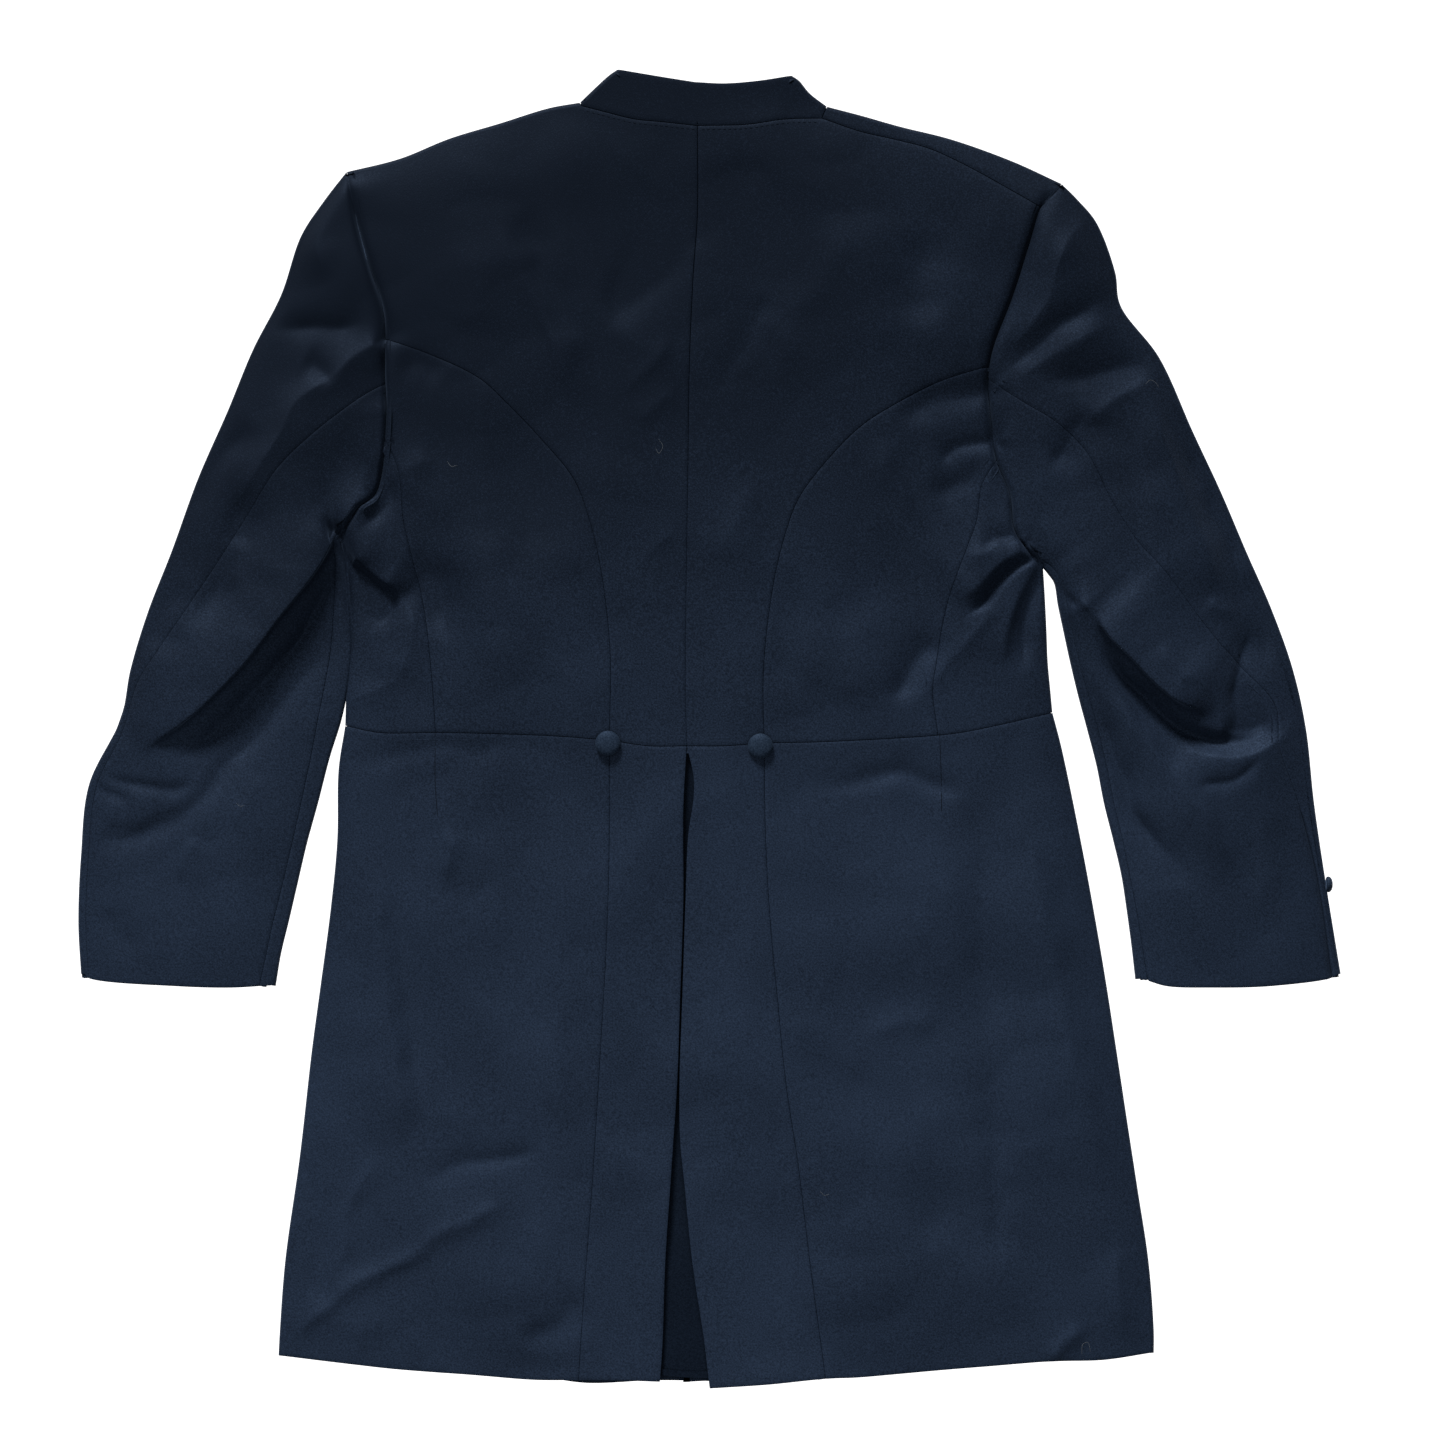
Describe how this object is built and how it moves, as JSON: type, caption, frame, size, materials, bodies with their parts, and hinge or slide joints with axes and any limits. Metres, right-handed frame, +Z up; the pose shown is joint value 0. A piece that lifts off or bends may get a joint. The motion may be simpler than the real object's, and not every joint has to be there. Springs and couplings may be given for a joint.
{
  "type": "frock coat",
  "caption": "Dark navy wool frock coat laid out face down: stand collar, curved back seams, waist seam with covered buttons, centre vent and two-piece sleeves.",
  "frame": {"origin": "middle of the laid coat's outline, on the surface that it lies on", "axes": "+Z up from the surface, out of the coat's back; +Y towards the collar; +X to the wearer's right arm as seen from above, the right of the picture"},
  "size_m": [0.9452, 0.9869, 0.0219],
  "materials": {
    "cloth": "fine wool twill, dark navy, slight sheen",
    "covered_button": "button covered with the same wool"
  },
  "bodies": {
    "root": {"back_left": "cloth", "back_right": "cloth", "side_body_left": "cloth", "side_body_right": "cloth", "front_left": "cloth", "front_right": "cloth", "skirt_back_left": "cloth", "skirt_back_right": "cloth", "skirt_left": "cloth", "skirt_right": "cloth", "vent_underlay": "cloth", "collar": "cloth", "top_sleeve_left": "cloth", "top_sleeve_right": "cloth", "under_sleeve_left": "cloth", "under_sleeve_right": "cloth", "waist_button_left": "covered_button", "waist_button_right": "covered_button", "cuff_button_right": "covered_button"}
  },
  "joints": []
}
